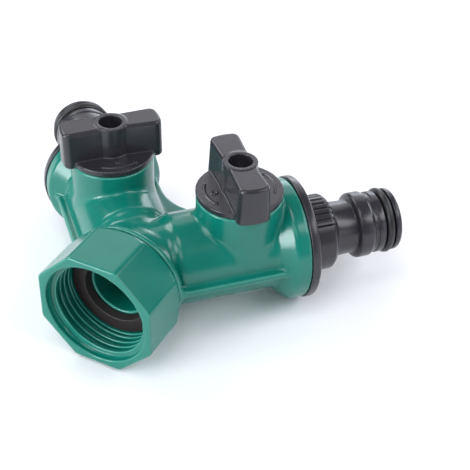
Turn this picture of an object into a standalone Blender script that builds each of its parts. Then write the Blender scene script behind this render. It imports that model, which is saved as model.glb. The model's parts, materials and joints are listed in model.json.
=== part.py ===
"""Two-way garden hose splitter: a swivel inlet nut, two ball valves and two quick-connect outlets.

Metres, +Z up. The three pipe axes meet at one point, the junction, and lie in one level plane.
The inlet mouth faces -Y and the two branches run at 45 degrees from +Y towards -X and +X.
Local lengths along an axis count from the junction. The origin is at the middle of the
object's footprint, on the surface it stands on. Both valves are modelled closed, with each
handle's bar across its branch.
"""

import math

import bmesh
import bpy
from mathutils import Matrix

# Driving dimensions
CLEARANCE = 0.0003
BRANCH_ANGLE = math.radians(45)
TUBE_RADIUS = 0.0115
BELL_RADIUS = 0.01535
BELL_FLARE = (0.0324, 0.0360)
BELL_END = 0.03955
BRANCH_START = -0.0021
ROOT_RADIUS = 0.0105
ROOT_STEP = (0.0066, 0.0083)
HUB_RADIUS = 0.0112
HUB_OFFSET = 0.0038
INLET_BORE_RADIUS = 0.0071
BRANCH_BORE_RADIUS = 0.0055

NUT_ACROSS_FLATS = 0.0300
NUT_SIDES = 8
NUT_MOUTH = -0.02064
NUT_REAR = -0.00620
NUT_MOUTH_RADIUS = 0.0134
NUT_LIP = 0.0012
THREAD_MAJOR = 0.0132
THREAD_MINOR = 0.0121
THREAD_PITCH = 0.001814
THREAD_START = -0.0196
THREAD_TURNS = 4

TAIL_RADIUS = 0.0098
TAIL_FRONT = -0.0094
TAIL_GROOVE = (-0.0088, -0.0075)
TAIL_GROOVE_RADIUS = 0.0088
COLLAR_RADIUS = 0.0146
COLLAR = (-0.0056, -0.0042)
NECK_RADIUS = 0.0118
NECK_END = 0.0060
WASHER_RADII = (0.0078, 0.0118)
WASHER_THICKNESS = 0.0018
RETAINING_RING_RADII = (0.0091, 0.0124)
RETAINING_RING_THICKNESS = 0.0007
RETAINING_RING_SPLIT = 0.0020

RIB = (-0.0012, 0.0005)
RIB_OFFSET = 0.0137
CROTCH_RADIUS = 0.0147

BOSS_DISTANCE = 0.02548
BOSS_RADIUS = 0.0106
BOSS_TOP = 0.0162
BALL_RADIUS = 0.0080
BALL_BORE_RADIUS = 0.0048
BALL_SLOT = (0.0100, 0.0032, 0.0061)
CHAMBER_RADIUS = 0.0086
SEAT_RADII = (0.0051, 0.0062, 0.0083)
SEAT_NEAR = 0.0056
SEAT_FAR = 0.0081
SEAT_CHAMFER = 0.0010

STEM_KEY = (0.0090, 0.0026, 0.0064)
STEM_SHOULDER = (0.0083, 0.0092)
STEM_SHOULDER_RADIUS = 0.0050
STEM_RADIUS = 0.0039
STEM_GROOVE = (0.0102, 0.0118)
STEM_GROOVE_RADIUS = 0.0024
STEM_SHAFT_TOP = 0.0123
STEM_SQUARE = 0.0048
STEM_TOP = 0.0184
STEM_WASHER_RADII = (0.0042, 0.0050)
STEM_WASHER = (0.0095, 0.0099)
STEM_O_RING = (0.0034, 0.0006, 0.0110)

HANDLE_RADIUS = 0.01067
HANDLE_DISC = (0.0165, 0.0180)
HANDLE_TOP = 0.0258
HANDLE_POST_TOP = 0.0260
HANDLE_POST_RADIUS = 0.0042
HANDLE_REACH = 0.0128
HANDLE_END_WIDTH = 0.0078
HANDLE_WAIST_WIDTH = 0.0068
HANDLE_LEG_INNER = 0.0110
HANDLE_LEG_BOTTOM = 0.0162
HANDLE_HUB = (0.0056, 0.0123)
HANDLE_HOLE_RADIUS = 0.0029
HANDLE_WEB = (0.0187, 0.0197)
SCREW_HEAD = (0.0026, 0.0013)
SCREW_RADIUS = 0.0012
SCREW_TIP = 0.0135

FLANGE = (0.03985, 0.04205)
FLANGE_RADIUS = 0.01566
ADAPTOR_TAIL = 0.0339
ADAPTOR_TAIL_RADIUS = 0.0102
ADAPTOR_BORE_RADIUS = 0.0050
GRIP_RADIUS = 0.00975
GRIP_SHOULDER = (0.0482, 0.0499)
KNURL_STEP = math.radians(10)
KNURL_REACH = 4
KNURL_DEPTH = 0.0004
SPOUT_RADII = (0.00715, 0.00685)
SPOUT_NECK_END = 0.0556
STOP_RING = (0.0562, 0.0593)
STOP_RING_RADIUS = 0.0085
LAND_RADIUS = 0.0080
LAND_START = 0.0599
O_RING_GROOVE = (0.0632, 0.0658)
O_RING_GROOVE_RADIUS = 0.0062
HEAD_RADIUS = 0.0081
SPOUT_END = 0.0676
SPOUT_CHAMFER = 0.0007
SPOUT_O_RING = (0.0075, 0.0010, 0.0645)
BELL_SEAL = (0.0118, 0.0007, 0.0389)
BELL_SEAL_POCKET = (0.0129, 0.0379)

PIPE_HEIGHT = FLANGE_RADIUS
REACH_BACK = (SPOUT_END + HEAD_RADIUS - SPOUT_CHAMFER) * math.sin(BRANCH_ANGLE)
JUNCTION_Y = -(REACH_BACK + NUT_MOUTH) / 2

FINE = 32
MEDIUM = 24
COARSE = 20
SIDES = {"left": -1, "right": 1}
FACET_TURN = math.radians(1.7)


# Materials
def material(name, colour, roughness, metallic=0.0):
    made = bpy.data.materials.new(name)
    made.use_nodes = True
    shader = made.node_tree.nodes["Principled BSDF"]
    shader.inputs["Base Color"].default_value = (*colour, 1.0)
    shader.inputs["Roughness"].default_value = roughness
    shader.inputs["Metallic"].default_value = metallic
    made.diffuse_color = (*colour, 1.0)
    return made


# Scene helpers
def clear_scene():
    for thing in list(bpy.data.objects):
        bpy.data.objects.remove(thing, do_unlink=True)


def new_collection(name):
    made = bpy.data.collections.new(name)
    bpy.context.scene.collection.children.link(made)
    return made


def add_empty(name, parent=None, location=(0, 0, 0), rotation=(0, 0, 0)):
    made = bpy.data.objects.new(name, None)
    made.parent = parent
    made.location = location
    made.rotation_euler = rotation
    guides.objects.link(made)
    return made


def add_part(name, mesh, finish, parent):
    """A visible sub-part, in the collection of parts."""
    made = bpy.data.objects.new(name, mesh)
    made.parent = parent
    mesh.materials.append(finish)
    parts.objects.link(made)
    return made


def add_tool(name, mesh, parent, rotation=(0, 0, 0)):
    """A hidden solid that is joined to a part or cut from it."""
    made = bpy.data.objects.new(name, mesh)
    made.parent = parent
    made.rotation_euler = rotation
    made.hide_render = True
    made.display_type = "WIRE"
    guides.objects.link(made)
    return made


def combine(target, tool, operation):
    modifier = target.modifiers.new(tool.name, "BOOLEAN")
    modifier.operation = operation
    modifier.solver = "EXACT"
    modifier.object = tool


def join(target, *tools):
    for tool in tools:
        combine(target, tool, "UNION")


def cut(target, *tools):
    for tool in tools:
        combine(target, tool, "DIFFERENCE")


# Shapes
def line_mesh(name, points, closed):
    """A profile of (radius, height) points in the XZ plane, as a chain of edges."""
    mesh = bpy.data.meshes.new(name)
    count = len(points)
    links = count if closed else count - 1
    edges = [(i, (i + 1) % count) for i in range(links)]
    mesh.from_pydata([(radius, 0, height) for radius, height in points], edges, [])
    return mesh


def turn(thing, steps):
    """Turns a profile about local Z. The profile runs down the outer side, top to bottom."""
    screw = thing.modifiers.new("turn", "SCREW")
    screw.steps = steps
    screw.render_steps = steps
    screw.use_smooth_shade = True
    screw.use_merge_vertices = True
    screw.merge_threshold = 0.00001
    return thing


def turned_part(name, points, finish, parent, steps, closed=True):
    return turn(add_part(name, line_mesh(name, points, closed), finish, parent), steps)


def turned_tool(name, points, parent, steps, twist=0.0):
    """A turned tool. The twist about its own axis keeps its facets off its neighbours' edges."""
    return turn(add_tool(name, line_mesh(name, points, False), parent, (0, 0, twist)), steps)


def rod_mesh(name, radius, low, high, steps):
    """A solid cylinder along local Z from low to high."""
    mesh = bpy.data.meshes.new(name)
    shape = bmesh.new()
    bmesh.ops.create_cone(
        shape, cap_ends=True, segments=steps, radius1=radius, radius2=radius, depth=high - low
    )
    bmesh.ops.translate(shape, vec=(0, 0, (low + high) / 2), verts=shape.verts)
    shape.to_mesh(mesh)
    shape.free()
    return mesh


def box_mesh(name, size, centre):
    mesh = bpy.data.meshes.new(name)
    shape = bmesh.new()
    bmesh.ops.create_cube(shape, size=1.0)
    bmesh.ops.scale(shape, vec=size, verts=shape.verts)
    bmesh.ops.translate(shape, vec=centre, verts=shape.verts)
    shape.to_mesh(mesh)
    shape.free()
    return mesh


def ball_mesh(name, radius, around, rings):
    mesh = bpy.data.meshes.new(name)
    shape = bmesh.new()
    bmesh.ops.create_uvsphere(shape, u_segments=around, v_segments=rings, radius=radius)
    shape.to_mesh(mesh)
    shape.free()
    return mesh


def plate_mesh(name, outline, low, high):
    """A flat outline in XY, filled and raised from low to high."""
    curve = bpy.data.curves.new(name, "CURVE")
    curve.dimensions = "2D"
    curve.fill_mode = "BOTH"
    curve.extrude = (high - low) / 2
    line = curve.splines.new("POLY")
    line.points.add(len(outline) - 1)
    for point, (x, y) in zip(line.points, outline):
        point.co = (x, y, 0, 1)
    line.use_cyclic_u = True
    guide = bpy.data.objects.new(name, curve)
    guides.objects.link(guide)
    bpy.context.view_layer.update()
    flat = guide.evaluated_get(bpy.context.evaluated_depsgraph_get())
    mesh = bpy.data.meshes.new_from_object(flat)
    shape = bmesh.new()
    shape.from_mesh(mesh)
    bmesh.ops.remove_doubles(shape, verts=shape.verts, dist=0.00001)
    bmesh.ops.translate(shape, vec=(0, 0, (low + high) / 2), verts=shape.verts)
    shape.to_mesh(mesh)
    shape.free()
    bpy.data.objects.remove(guide, do_unlink=True)
    bpy.data.curves.remove(curve)
    return mesh


def arc(centre, radius, start, end, count):
    """Points in XY along an arc from angle start to angle end."""
    angles = [start + (end - start) * i / (count - 1) for i in range(count)]
    return [(centre[0] + radius * math.cos(a), centre[1] + radius * math.sin(a)) for a in angles]


def ring_profile(inner, outer, low, high):
    return [(inner, high), (outer, high), (outer, low), (inner, low)]


def round_profile(ring_radius, section_radius, height, count=6):
    """The round section of an O-ring, running down its outer side."""
    turn_step = 2 * math.pi / count
    angles = [math.pi / 2 - turn_step * i for i in range(count)]
    return [
        (ring_radius + section_radius * math.cos(a), height + section_radius * math.sin(a))
        for a in angles
    ]


# Inlet: swivel nut, washer and the ring that keeps the nut on
def thread_profile():
    """The nut's wall inside, from the lip to the mouth: relief, thread crests, counterbore."""
    points = []
    for crest in reversed(range(THREAD_TURNS)):
        root = THREAD_START + THREAD_PITCH * (crest + 0.9)
        top = THREAD_START + THREAD_PITCH * (crest + 0.4)
        points.append((THREAD_MAJOR, root))
        points.append((THREAD_MINOR, top + THREAD_PITCH * 0.1))
        points.append((THREAD_MINOR, top - THREAD_PITCH * 0.1))
    points.append((THREAD_MAJOR, THREAD_START))
    return points


def make_inlet_nut(axis):
    lip_radius = TAIL_RADIUS + CLEARANCE
    chamfer = 0.0016
    corner_radius = NUT_ACROSS_FLATS / 2 / math.cos(math.pi / NUT_SIDES)
    inside = [(NUT_MOUTH_RADIUS, NUT_REAR - NUT_LIP)]
    inside += [(NUT_MOUTH_RADIUS, THREAD_START + THREAD_PITCH * THREAD_TURNS + 0.0002)]
    inside += thread_profile()
    inside += [(NUT_MOUTH_RADIUS, THREAD_START - 0.0001), (NUT_MOUTH_RADIUS, NUT_MOUTH + 0.0004)]
    inside += [(NUT_MOUTH_RADIUS + 0.0004, NUT_MOUTH)]
    outside = [
        (lip_radius, NUT_REAR),
        (corner_radius - 0.0018, NUT_REAR),
        (corner_radius + 0.0002, NUT_REAR - chamfer),
        (corner_radius + 0.0002, NUT_MOUTH + 0.0004),
        (corner_radius - 0.0002, NUT_MOUTH),
    ]
    profile = outside + list(reversed(inside)) + [(lip_radius, NUT_REAR - NUT_LIP)]
    nut = turned_part("inlet_nut", profile, green, axis, FINE)
    prism = bpy.data.meshes.new("nut_flats")
    shape = bmesh.new()
    bmesh.ops.create_cone(
        shape, cap_ends=True, segments=NUT_SIDES, radius1=corner_radius, radius2=corner_radius, depth=0.05
    )
    bmesh.ops.rotate(
        shape,
        verts=shape.verts,
        cent=(0, 0, 0),
        matrix=Matrix.Rotation(math.pi / NUT_SIDES, 3, "Z"),
    )
    shape.to_mesh(prism)
    shape.free()
    combine(nut, add_tool("nut_flats", prism, axis), "INTERSECT")


def make_inlet_seals(axis):
    washer_back = TAIL_FRONT - CLEARANCE
    washer = ring_profile(*WASHER_RADII, washer_back - WASHER_THICKNESS, washer_back)
    turned_part("inlet_washer", washer, black_rubber, axis, MEDIUM)
    ring_low = TAIL_GROOVE[0] + CLEARANCE
    ring = ring_profile(*RETAINING_RING_RADII, ring_low, ring_low + RETAINING_RING_THICKNESS)
    split_ring = turned_part("nut_retaining_ring", ring, white_plastic, axis, MEDIUM)
    gap_centre = (0, RETAINING_RING_RADII[1], ring_low)
    gap_size = (RETAINING_RING_SPLIT, RETAINING_RING_RADII[1], 0.004)
    cut(split_ring, add_tool("ring_gap", box_mesh("ring_gap", gap_size, gap_centre), axis))


# Body
def body_outline():
    """Half of the rib's outline seen from above, from the collar round to the crotch's middle."""
    across = math.cos(BRANCH_ANGLE)
    outer_start = COLLAR[1] / across + RIB_OFFSET
    outer_end = BELL_FLARE[1]

    def along(distance, offset):
        return ((distance + offset) * across, (distance - offset) * across)

    fillet_centre = (0, (RIB_OFFSET + CROTCH_RADIUS) / across)
    half = [(0, COLLAR[1]), along(outer_start, RIB_OFFSET), along(outer_end, RIB_OFFSET)]
    half += [along(outer_end, -RIB_OFFSET)]
    half += arc(fillet_centre, CROTCH_RADIUS, -BRANCH_ANGLE, -math.pi / 2, 6)
    return half


def make_body(frame, inlet_axis, branch_axes):
    neck = [
        (0, NECK_END),
        (HUB_RADIUS - 0.001, NECK_END),
        (NECK_RADIUS, COLLAR[1]),
        (COLLAR_RADIUS, COLLAR[1]),
        (COLLAR_RADIUS, COLLAR[0]),
        (TAIL_RADIUS, COLLAR[0]),
        (TAIL_RADIUS, TAIL_GROOVE[1]),
        (TAIL_GROOVE_RADIUS, TAIL_GROOVE[1]),
        (TAIL_GROOVE_RADIUS, TAIL_GROOVE[0]),
        (TAIL_RADIUS, TAIL_GROOVE[0]),
        (TAIL_RADIUS, TAIL_FRONT),
        (0, TAIL_FRONT),
    ]
    body = turned_part("body", neck, green, inlet_axis, FINE, closed=False)
    hub = ball_mesh("hub", HUB_RADIUS, MEDIUM, 16)
    hub_tool = add_tool("hub", hub, frame, (FACET_TURN, 2 * FACET_TURN, FACET_TURN))
    hub_tool.location = (0, HUB_OFFSET, 0)
    join(body, hub_tool)

    branch = [
        (0, BELL_END),
        (BELL_RADIUS, BELL_END),
        (BELL_RADIUS, BELL_FLARE[1]),
        (TUBE_RADIUS + 0.0012, BELL_FLARE[0] + 0.0018),
        (TUBE_RADIUS, BELL_FLARE[0]),
        (TUBE_RADIUS, ROOT_STEP[1]),
        (ROOT_RADIUS, ROOT_STEP[0]),
        (ROOT_RADIUS, BRANCH_START),
        (0, BRANCH_START),
    ]
    waterway = [
        (0, BELL_END + 0.001),
        (BELL_SEAL_POCKET[0], BELL_END + 0.001),
        (BELL_SEAL_POCKET[0], BELL_SEAL_POCKET[1]),
        (ADAPTOR_TAIL_RADIUS + CLEARANCE, BELL_SEAL_POCKET[1]),
        (ADAPTOR_TAIL_RADIUS + CLEARANCE, ADAPTOR_TAIL - CLEARANCE),
        (CHAMBER_RADIUS, ADAPTOR_TAIL - CLEARANCE),
        (CHAMBER_RADIUS, BOSS_DISTANCE - SEAT_FAR - CLEARANCE),
        (BRANCH_BORE_RADIUS, BOSS_DISTANCE - SEAT_FAR - CLEARANCE),
        (BRANCH_BORE_RADIUS, 0),
        (0, 0),
    ]
    stem_way = [
        (0, BOSS_TOP + 0.001),
        (HANDLE_HUB[0] + CLEARANCE, BOSS_TOP + 0.001),
        (HANDLE_HUB[0] + CLEARANCE, HANDLE_HUB[1] - CLEARANCE),
        (STEM_RADIUS + CLEARANCE, HANDLE_HUB[1] - CLEARANCE),
        (STEM_RADIUS + CLEARANCE, STEM_WASHER[1] + CLEARANCE),
        (STEM_SHOULDER_RADIUS + CLEARANCE, STEM_WASHER[1] + CLEARANCE),
        (STEM_SHOULDER_RADIUS + CLEARANCE, 0),
        (0, 0),
    ]
    for index, (side, (branch_axis, valve_axis)) in enumerate(branch_axes.items()):
        twist = FACET_TURN * (index + 1)
        join(body, turned_tool(side + "_branch", branch, branch_axis, FINE, twist))
        boss = rod_mesh(side + "_boss", BOSS_RADIUS, BRANCH_START, BOSS_TOP, FINE)
        join(body, add_tool(side + "_boss", boss, valve_axis, (0, 0, twist)))
    half = body_outline()
    outline = half + [(-x, y) for x, y in reversed(half[1:-1])]
    join(body, add_tool("rib", plate_mesh("rib", outline, *RIB), frame))

    inlet_bore = rod_mesh("inlet_bore", INLET_BORE_RADIUS, TAIL_FRONT - 0.001, 0.003, MEDIUM)
    cut(body, add_tool("inlet_bore", inlet_bore, inlet_axis))
    for index, (side, (branch_axis, valve_axis)) in enumerate(branch_axes.items()):
        twist = FACET_TURN * (index + 3)
        cut(body, turned_tool(side + "_waterway", waterway, branch_axis, MEDIUM, twist))
        cut(body, turned_tool(side + "_stem_way", stem_way, valve_axis, MEDIUM, twist))


# Valve: ball, seats, stem and handle
def make_ball(side, valve_axis):
    name = side + "_ball"
    ball = add_part(name, ball_mesh(name, BALL_RADIUS, COARSE, 12), chrome, valve_axis)
    bore = rod_mesh(side + "_ball_bore", BALL_BORE_RADIUS, -0.009, 0.009, COARSE)
    bore_tool = add_tool(side + "_ball_bore", bore, valve_axis, (0, math.pi / 2, 0))
    length, width, floor = BALL_SLOT
    slot = box_mesh(side + "_ball_slot", (length * 2, width, 0.004), (0, 0, floor + 0.002))
    cut(ball, bore_tool, add_tool(side + "_ball_slot", slot, valve_axis))


def make_seats(side, branch_axis):
    """Two soft rings that press on the ball, one on each side of it."""
    inner, ball_edge, outer = SEAT_RADII
    outlet = [
        (inner, SEAT_FAR),
        (outer, SEAT_FAR),
        (outer, SEAT_NEAR),
        (ball_edge, SEAT_NEAR),
        (inner, SEAT_NEAR + SEAT_CHAMFER),
    ]
    inlet = [(radius, -height) for radius, height in reversed(outlet)]
    for label, profile in (("inlet", inlet), ("outlet", outlet)):
        points = [(radius, BOSS_DISTANCE + height) for radius, height in profile]
        turned_part(side + "_" + label + "_seat", points, white_plastic, branch_axis, MEDIUM)


def make_stem(side, valve_axis):
    length, width, key_low = STEM_KEY
    shaft = [
        (0, STEM_SHAFT_TOP),
        (STEM_RADIUS, STEM_SHAFT_TOP),
        (STEM_RADIUS, STEM_GROOVE[1]),
        (STEM_GROOVE_RADIUS, STEM_GROOVE[1]),
        (STEM_GROOVE_RADIUS, STEM_GROOVE[0]),
        (STEM_RADIUS, STEM_GROOVE[0]),
        (STEM_RADIUS, STEM_SHOULDER[1]),
        (STEM_SHOULDER_RADIUS, STEM_SHOULDER[1]),
        (STEM_SHOULDER_RADIUS, STEM_SHOULDER[0]),
        (0, STEM_SHOULDER[0]),
    ]
    stem = turned_part(side + "_stem", shaft, black_plastic, valve_axis, COARSE, closed=False)
    square_height = STEM_TOP - STEM_GROOVE[1]
    square_centre = (0, 0, STEM_TOP - square_height / 2)
    square = box_mesh(side + "_stem_square", (STEM_SQUARE, STEM_SQUARE, square_height), square_centre)
    key_height = STEM_SHOULDER[0] + 0.0004 - key_low
    key = box_mesh(side + "_stem_key", (length, width, key_height), (0, 0, key_low + key_height / 2))
    join(stem, add_tool(side + "_stem_square", square, valve_axis))
    join(stem, add_tool(side + "_stem_key", key, valve_axis))
    pilot = rod_mesh(side + "_pilot", SCREW_RADIUS + CLEARANCE, SCREW_TIP - CLEARANCE, STEM_TOP + 0.001, 16)
    cut(stem, add_tool(side + "_pilot", pilot, valve_axis))

    washer = ring_profile(*STEM_WASHER_RADII, *STEM_WASHER)
    turned_part(side + "_stem_washer", washer, white_plastic, valve_axis, COARSE)
    ring_radius, section, height = STEM_O_RING
    seal = round_profile(ring_radius, section, height)
    turned_part(side + "_stem_o_ring", seal, black_rubber, valve_axis, COARSE)


def handle_outline():
    """The bar seen from above: round ends concentric with the disc, and a narrower waist."""
    end_angle = math.asin(HANDLE_END_WIDTH / 2 / HANDLE_REACH)
    waist = HANDLE_WAIST_WIDTH / 2
    end = arc((0, 0), HANDLE_REACH, -end_angle, end_angle, 7)
    half = end + [(HANDLE_POST_RADIUS, waist), (0, waist)]
    return half + [(-x, -y) for x, y in end] + [(-HANDLE_POST_RADIUS, -waist), (0, -waist)]


def leg_outline():
    outer_angle = math.asin(HANDLE_END_WIDTH / 2 / HANDLE_REACH)
    inner_angle = math.asin(HANDLE_END_WIDTH / 2 / HANDLE_LEG_INNER)
    outer = arc((0, 0), HANDLE_REACH, -outer_angle, outer_angle, 7)
    inner = arc((0, 0), HANDLE_LEG_INNER, inner_angle, -inner_angle, 7)
    return outer + inner


def make_handle(side, valve_axis):
    hub_radius, hub_low = HANDLE_HUB
    turned = [
        (0, HANDLE_POST_TOP),
        (HANDLE_POST_RADIUS, HANDLE_POST_TOP),
        (HANDLE_POST_RADIUS, HANDLE_DISC[1]),
        (HANDLE_RADIUS, HANDLE_DISC[1]),
        (HANDLE_RADIUS, HANDLE_DISC[0]),
        (hub_radius, HANDLE_DISC[0]),
        (hub_radius, hub_low),
        (0, hub_low),
    ]
    name = side + "_handle"
    handle = turned_part(name, turned, black_plastic, valve_axis, FINE, closed=False)
    sunk = HANDLE_DISC[1] - 0.0005
    bar = plate_mesh(name + "_bar", handle_outline(), sunk, HANDLE_TOP)
    join(handle, add_tool(name + "_bar", bar, valve_axis))
    for index, angle in enumerate((0, math.pi)):
        label = name + "_leg_" + str(index + 1)
        leg = plate_mesh(label, leg_outline(), HANDLE_LEG_BOTTOM, sunk + 0.001)
        join(handle, add_tool(label, leg, valve_axis, (0, 0, angle)))
    hole = rod_mesh(name + "_hole", HANDLE_HOLE_RADIUS, HANDLE_WEB[1], HANDLE_POST_TOP + 0.001, COARSE)
    screw_hole = rod_mesh(name + "_screw_hole", SCREW_RADIUS + CLEARANCE, hub_low, 0.021, 16)
    socket_size = STEM_SQUARE + 2 * CLEARANCE
    socket_low = hub_low - 0.001
    socket_height = HANDLE_WEB[0] - socket_low
    socket = box_mesh(
        name + "_socket",
        (socket_size, socket_size, socket_height),
        (0, 0, socket_low + socket_height / 2),
    )
    for label, mesh in (("_hole", hole), ("_screw_hole", screw_hole), ("_socket", socket)):
        cut(handle, add_tool(name + label, mesh, valve_axis))


def make_handle_screw(side, valve_axis):
    head_radius, head_height = SCREW_HEAD
    seat = HANDLE_WEB[1] + CLEARANCE
    profile = [
        (0, seat + head_height),
        (head_radius - 0.0006, seat + head_height),
        (head_radius, seat + head_height - 0.0006),
        (head_radius, seat),
        (SCREW_RADIUS, seat),
        (SCREW_RADIUS, SCREW_TIP + 0.0006),
        (0, SCREW_TIP),
    ]
    turned_part(side + "_handle_screw", profile, steel, valve_axis, COARSE, closed=False)


# Outlet: the quick-connect adaptor and its seals
def adaptor_profile():
    grip_round = GRIP_RADIUS - 0.0012
    outside = [
        (HEAD_RADIUS - SPOUT_CHAMFER, SPOUT_END),
        (HEAD_RADIUS, SPOUT_END - SPOUT_CHAMFER),
        (HEAD_RADIUS, O_RING_GROOVE[1]),
        (O_RING_GROOVE_RADIUS, O_RING_GROOVE[1]),
        (O_RING_GROOVE_RADIUS, O_RING_GROOVE[0]),
        (LAND_RADIUS, O_RING_GROOVE[0]),
        (LAND_RADIUS, LAND_START),
        (STOP_RING_RADIUS, STOP_RING[1]),
        (STOP_RING_RADIUS, STOP_RING[0]),
        (SPOUT_RADII[1], SPOUT_NECK_END),
        (SPOUT_RADII[0], GRIP_SHOULDER[1]),
        (grip_round, GRIP_SHOULDER[1] - 0.0003),
        (GRIP_RADIUS, GRIP_SHOULDER[0]),
        (GRIP_RADIUS, FLANGE[1]),
        (FLANGE_RADIUS - 0.0005, FLANGE[1]),
        (FLANGE_RADIUS, FLANGE[1] - 0.0005),
        (FLANGE_RADIUS, FLANGE[0]),
        (ADAPTOR_TAIL_RADIUS, FLANGE[0]),
        (ADAPTOR_TAIL_RADIUS, ADAPTOR_TAIL),
    ]
    bore = [(ADAPTOR_BORE_RADIUS, ADAPTOR_TAIL), (ADAPTOR_BORE_RADIUS, SPOUT_END)]
    return outside + bore


def make_adaptor(side, branch_axis):
    name = side + "_outlet_adaptor"
    adaptor = turned_part(name, adaptor_profile(), black_plastic, branch_axis, FINE)
    groove_length = GRIP_SHOULDER[0] - FLANGE[1] - 0.001
    groove_centre = (GRIP_RADIUS, 0, FLANGE[1] + 0.0005 + groove_length / 2)
    size = (KNURL_DEPTH * 2, 0.0007, groove_length)
    grooves = bpy.data.meshes.new(name + "_knurl")
    shape = bmesh.new()
    for face in (-math.pi / 2, math.pi / 2):
        for step in range(-KNURL_REACH, KNURL_REACH + 1):
            angle = face + step * KNURL_STEP
            made = bmesh.ops.create_cube(shape, size=1.0)["verts"]
            bmesh.ops.scale(shape, vec=size, verts=made)
            bmesh.ops.translate(shape, vec=groove_centre, verts=made)
            spin = Matrix.Rotation(angle, 3, "Z")
            bmesh.ops.rotate(shape, verts=made, cent=(0, 0, 0), matrix=spin)
    shape.to_mesh(grooves)
    shape.free()
    cut(adaptor, add_tool(name + "_knurl", grooves, branch_axis))

    ring_radius, section, height = SPOUT_O_RING
    seal = round_profile(ring_radius, section, height)
    turned_part(side + "_spout_o_ring", seal, black_rubber, branch_axis, MEDIUM)
    ring_radius, section, height = BELL_SEAL
    seal = round_profile(ring_radius, section, height)
    turned_part(side + "_adaptor_o_ring", seal, black_rubber, branch_axis, MEDIUM)


clear_scene()
parts = new_collection("hose_splitter")
guides = new_collection("guides")
green = material("green_plastic", (0.012, 0.21, 0.145), 0.32)
black_plastic = material("black_plastic", (0.03, 0.028, 0.032), 0.42)
black_rubber = material("black_rubber", (0.012, 0.012, 0.012), 0.65)
white_plastic = material("white_plastic", (0.78, 0.78, 0.74), 0.4)
chrome = material("ball_chrome", (0.75, 0.76, 0.78), 0.12, 1.0)
steel = material("screw_steel", (0.55, 0.55, 0.56), 0.3, 1.0)

junction = add_empty("junction", location=(0, JUNCTION_Y, PIPE_HEIGHT))
inlet = add_empty("inlet_axis", junction, rotation=(-math.pi / 2, 0, 0))
axes = {}
for side_name, sign in SIDES.items():
    branch_turn = (-math.pi / 2, 0, -sign * BRANCH_ANGLE)
    branch_line = add_empty(side_name + "_branch_axis", junction, rotation=branch_turn)
    sideways = sign * BOSS_DISTANCE * math.sin(BRANCH_ANGLE)
    forward = BOSS_DISTANCE * math.cos(BRANCH_ANGLE)
    valve_line = add_empty(
        side_name + "_valve_axis",
        junction,
        location=(sideways, forward, 0),
        rotation=(0, 0, -sign * BRANCH_ANGLE),
    )
    axes[side_name] = (branch_line, valve_line)

make_body(junction, inlet, axes)
make_inlet_nut(inlet)
make_inlet_seals(inlet)
for side_name, (branch_line, valve_line) in axes.items():
    make_ball(side_name, valve_line)
    make_seats(side_name, branch_line)
    make_stem(side_name, valve_line)
    make_handle(side_name, valve_line)
    make_handle_screw(side_name, valve_line)
    make_adaptor(side_name, branch_line)
bpy.context.view_layer.update()
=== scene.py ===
import json
import math
from functools import reduce

import bpy
import numpy as np
from mathutils import Matrix, Vector


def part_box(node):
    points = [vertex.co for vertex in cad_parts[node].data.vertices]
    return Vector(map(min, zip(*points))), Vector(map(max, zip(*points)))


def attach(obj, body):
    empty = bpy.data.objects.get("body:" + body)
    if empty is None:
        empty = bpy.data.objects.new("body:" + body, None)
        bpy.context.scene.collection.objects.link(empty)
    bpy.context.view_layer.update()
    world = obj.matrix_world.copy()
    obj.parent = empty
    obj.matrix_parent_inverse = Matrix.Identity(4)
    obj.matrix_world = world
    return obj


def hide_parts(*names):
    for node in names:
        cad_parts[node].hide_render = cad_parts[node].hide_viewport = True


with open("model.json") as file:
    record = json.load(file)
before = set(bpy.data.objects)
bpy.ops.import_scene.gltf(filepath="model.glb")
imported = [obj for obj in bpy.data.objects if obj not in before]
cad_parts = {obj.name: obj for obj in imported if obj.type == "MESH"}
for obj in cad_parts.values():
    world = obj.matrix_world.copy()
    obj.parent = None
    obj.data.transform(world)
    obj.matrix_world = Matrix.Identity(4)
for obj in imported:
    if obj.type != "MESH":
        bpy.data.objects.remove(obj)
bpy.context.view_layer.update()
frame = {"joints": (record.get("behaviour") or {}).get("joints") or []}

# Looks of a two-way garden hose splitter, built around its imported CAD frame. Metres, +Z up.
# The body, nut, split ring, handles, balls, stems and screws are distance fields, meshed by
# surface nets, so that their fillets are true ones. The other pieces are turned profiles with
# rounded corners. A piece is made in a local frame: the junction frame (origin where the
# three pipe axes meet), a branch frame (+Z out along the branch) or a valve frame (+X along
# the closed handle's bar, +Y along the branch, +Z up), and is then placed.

# Driving places, from the frame
VALVE_AT = {
    joint["name"].split("_")[0]: Vector(joint["pos_m"])
    for joint in frame["joints"]
    if joint["name"].endswith("valve_turn")
}
PIPE_HEIGHT = VALVE_AT["right"].z
SIDEWAYS = VALVE_AT["right"].x
BOSS_DISTANCE = SIDEWAYS * math.sqrt(2)
JUNCTION = Vector((0, VALVE_AT["right"].y - SIDEWAYS, PIPE_HEIGHT))
BRANCH_ANGLE = math.radians(45)
SIDES = {"left": -1, "right": 1}
NUT_LOW, NUT_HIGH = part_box("inlet_nut")
NUT_MOUTH = NUT_LOW.y - JUNCTION.y
NUT_REAR = NUT_HIGH.y - JUNCTION.y
NUT_APOTHEM = (NUT_HIGH.x - NUT_LOW.x) / 2

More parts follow.
